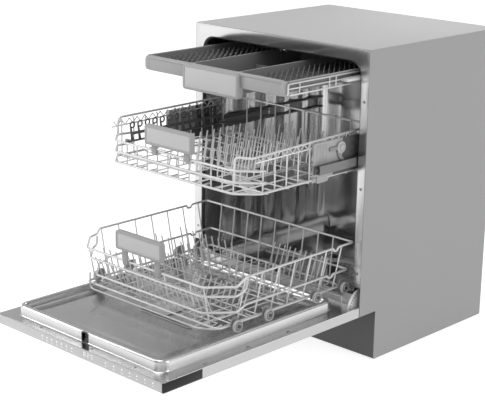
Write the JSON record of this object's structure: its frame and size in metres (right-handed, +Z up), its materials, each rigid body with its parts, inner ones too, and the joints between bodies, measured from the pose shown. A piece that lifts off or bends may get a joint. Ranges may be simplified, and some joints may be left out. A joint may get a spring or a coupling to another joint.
{
  "type": "built in dishwasher",
  "caption": "Built-in dishwasher with its door open flat, both wire racks and the cutlery tray pulled out on their runners, and spray arms, filter and pumps inside.",
  "frame": {"origin": "on the floor, under the middle of the whole outline with the door open flat", "axes": "+X to the user's right when facing the machine, +Y into the cabinet, +Z up"},
  "size_m": [0.598, 1.23, 0.82],
  "materials": {
    "cabinet_top": "satin",
    "cabinet_side": "satin",
    "cabinet_rear": "satin",
    "front_steel": "brushed",
    "tub_steel": "polished",
    "liner_steel": "brushed",
    "galvanised": "satin",
    "plinth_grey": "matte",
    "base_plastic": "matte",
    "foot_rubber": "matte",
    "gasket_rubber": "matte",
    "strip_plastic": "satin",
    "cap_black": "satin",
    "water_plastic": "matte",
    "pipe_plastic": "satin",
    "arm_plastic": "satin",
    "impeller_plastic": "satin",
    "rail_steel": "satin",
    "hinge_steel": "satin",
    "spring_steel": "satin",
    "striker_steel": "polished",
    "latch_plastic": "satin",
    "dispenser_plastic": "satin",
    "cap_blue_grey": "satin",
    "cap_grey": "satin",
    "filter_plastic": "satin",
    "rack_wire": "satin",
    "tine_wire": "satin",
    "handle_plastic": "satin",
    "wheel_plastic": "satin",
    "carrier_plastic": "satin",
    "bracket_plastic": "satin",
    "lever_plastic": "satin",
    "comb_plastic": "satin",
    "fascia_plastic": "satin",
    "tray_plastic": "satin",
    "module_plastic": "matte"
  },
  "bodies": {
    "cabinet": {"side_panel_left": "cabinet_side", "side_panel_right": "cabinet_side", "top_panel": "cabinet_top", "rear_panel": "cabinet_rear", "base_tray": "base_plastic", "plinth": "plinth_grey", "levelling_feet": "foot_rubber", "front_frame": "front_steel", "tub_wrapper": "tub_steel", "tub_back": "tub_steel", "tub_base": "tub_steel", "door_gasket": "gasket_rubber", "sump": "water_plastic", "circulation_pump": "water_plastic", "drain_pump": "water_plastic", "salt_container": "water_plastic", "inlet_valve": "arm_plastic", "drain_connector": "base_plastic", "mains_inlet": "cap_black", "control_module": "module_plastic", "feed_tube": "pipe_plastic", "wall_rails": "rail_steel", "latch_striker": "striker_steel", "door_outer_panel": "galvanised", "door_liner": "liner_steel", "control_strip": "strip_plastic", "door_side_caps": "cap_black", "dispenser_body": "dispenser_plastic", "hinge_arms": "hinge_steel", "door_springs": "spring_steel"},
    "lower_rack": {"lower_rack_hoops": "rack_wire", "lower_rack_wires": "rack_wire", "lower_rack_handle": "handle_plastic", "wheel_carriers": "carrier_plastic"},
    "front_wheel_pair": {"front_wheels": "wheel_plastic"},
    "second_wheel_pair": {"second_wheels": "wheel_plastic"},
    "third_wheel_pair": {"third_wheels": "wheel_plastic"},
    "rear_wheel_pair": {"rear_wheels": "wheel_plastic"},
    "lower_tine_row": {"lower_folding_tines": "tine_wire"},
    "upper_rack": {"upper_rack_hoops": "rack_wire", "upper_rack_wires": "rack_wire", "upper_rack_handle": "handle_plastic", "upper_arm_manifold": "arm_plastic", "side_brackets": "bracket_plastic"},
    "middle_rail_pair": {"middle_rails": "rail_steel"},
    "upper_tine_row": {"upper_folding_tines": "tine_wire"},
    "glass_holder": {"glass_comb": "comb_plastic"},
    "lever_pair": {"height_levers": "lever_plastic"},
    "upper_arm": {"upper_spray_arm": "arm_plastic"},
    "cutlery_tray": {"tray_frame": "rack_wire", "tray_fascia": "fascia_plastic", "cutlery_trays": "tray_plastic"},
    "lower_arm": {"lower_spray_arm": "arm_plastic"},
    "ceiling_arm": {"ceiling_spray_arm": "arm_plastic"},
    "filter": {"filter_cylinder": "filter_plastic"},
    "salt_lid": {"salt_cap": "cap_grey"},
    "impeller": {"pump_impeller": "impeller_plastic"},
    "latch": {"door_latch": "latch_plastic"},
    "detergent_lid": {"dispenser_lid": "dispenser_plastic"},
    "rinse_cap": {"rinse_aid_cap": "cap_blue_grey"}
  },
  "joints": [
    {"name": "lower_rack_slide", "type": "slide", "parent": "cabinet", "child": "lower_rack", "axis": [0, 1, 0], "range_m": [0, 0.47]},
    {"name": "front_wheels_roll", "type": "hinge", "parent": "lower_rack", "child": "front_wheel_pair", "pos_m": [0, -0.331, 0.2054], "axis": [-1, 0, 0], "range_deg": [0, 1800]},
    {"name": "second_wheels_roll", "type": "hinge", "parent": "lower_rack", "child": "second_wheel_pair", "pos_m": [0, -0.223, 0.2054], "axis": [-1, 0, 0], "range_deg": [0, 1800]},
    {"name": "third_wheels_roll", "type": "hinge", "parent": "lower_rack", "child": "third_wheel_pair", "pos_m": [0, -0.047, 0.2054], "axis": [-1, 0, 0], "range_deg": [0, 1800]},
    {"name": "rear_wheels_roll", "type": "hinge", "parent": "lower_rack", "child": "rear_wheel_pair", "pos_m": [0, 0.06, 0.2054], "axis": [-1, 0, 0], "range_deg": [0, 1800]},
    {"name": "lower_tines_fold", "type": "hinge", "parent": "lower_rack", "child": "lower_tine_row", "pos_m": [0.12, -0.135, 0.2098], "axis": [-1, 0, 0], "range_deg": [0, 74]},
    {"name": "upper_rack_slide", "type": "slide", "parent": "cabinet", "child": "upper_rack", "axis": [0, 1, 0], "range_m": [0, 0.39]},
    {"name": "middle_rails_slide", "type": "slide", "parent": "cabinet", "child": "middle_rail_pair", "axis": [0, 1, 0], "range_m": [0, 0.195]},
    {"name": "upper_tines_fold", "type": "hinge", "parent": "upper_rack", "child": "upper_tine_row", "pos_m": [0.142, -0.078, 0.517], "axis": [0, 1, 0], "range_deg": [0, 70]},
    {"name": "glass_holder_fold", "type": "hinge", "parent": "upper_rack", "child": "glass_holder", "pos_m": [-0.236, -0.08, 0.548], "axis": [0, 1, 0], "range_deg": [0, 80]},
    {"name": "height_levers_turn", "type": "hinge", "parent": "upper_rack", "child": "lever_pair", "pos_m": [0, 0.013, 0.582], "axis": [1, 0, 0], "range_deg": [0, 30]},
    {"name": "upper_arm_spin", "type": "hinge", "parent": "upper_rack", "child": "upper_arm", "pos_m": [0, -0.0785, 0.4835], "axis": [0, 0, 1], "continuous": true},
    {"name": "cutlery_tray_slide", "type": "slide", "parent": "cabinet", "child": "cutlery_tray", "axis": [0, 1, 0], "range_m": [0, 0.262]},
    {"name": "lower_arm_spin", "type": "hinge", "parent": "cabinet", "child": "lower_arm", "pos_m": [0, 0.318, 0.1635], "axis": [0, 0, 1], "continuous": true},
    {"name": "ceiling_arm_spin", "type": "hinge", "parent": "cabinet", "child": "ceiling_arm", "pos_m": [0, 0.318, 0.7725], "axis": [0, 0, 1], "continuous": true},
    {"name": "filter_turn", "type": "hinge", "parent": "cabinet", "child": "filter", "pos_m": [0.09, 0.258, 0.12], "axis": [0, 0, 1], "range_deg": [0, 90]},
    {"name": "salt_cap_turn", "type": "hinge", "parent": "cabinet", "child": "salt_lid", "pos_m": [-0.15, 0.205, 0.13], "axis": [0, 0, 1], "range_deg": [0, 120]},
    {"name": "impeller_spin", "type": "hinge", "parent": "cabinet", "child": "impeller", "pos_m": [-0.15, 0.38, 0.072], "axis": [0, 1, 0], "continuous": true},
    {"name": "latch_turn", "type": "hinge", "parent": "cabinet", "child": "latch", "pos_m": [0, -0.578, 0.167], "axis": [1, 0, 0], "range_deg": [0, 30]},
    {"name": "detergent_lid_slide", "type": "slide", "parent": "cabinet", "child": "detergent_lid", "axis": [1, 0, 0], "range_m": [0, 0.084]},
    {"name": "rinse_cap_turn", "type": "hinge", "parent": "cabinet", "child": "rinse_cap", "pos_m": [0.096, -0.305, 0.17], "axis": [0, 0, 1], "range_deg": [0, 90]}
  ],
  "couplings": [
    {"joint": "front_wheels_roll", "follows": "lower_rack_slide", "rad_per_m": 66.667},
    {"joint": "second_wheels_roll", "follows": "lower_rack_slide", "rad_per_m": 66.667},
    {"joint": "third_wheels_roll", "follows": "lower_rack_slide", "rad_per_m": 66.667},
    {"joint": "rear_wheels_roll", "follows": "lower_rack_slide", "rad_per_m": 66.667},
    {"joint": "middle_rails_slide", "follows": "upper_rack_slide", "ratio": 0.5}
  ]
}
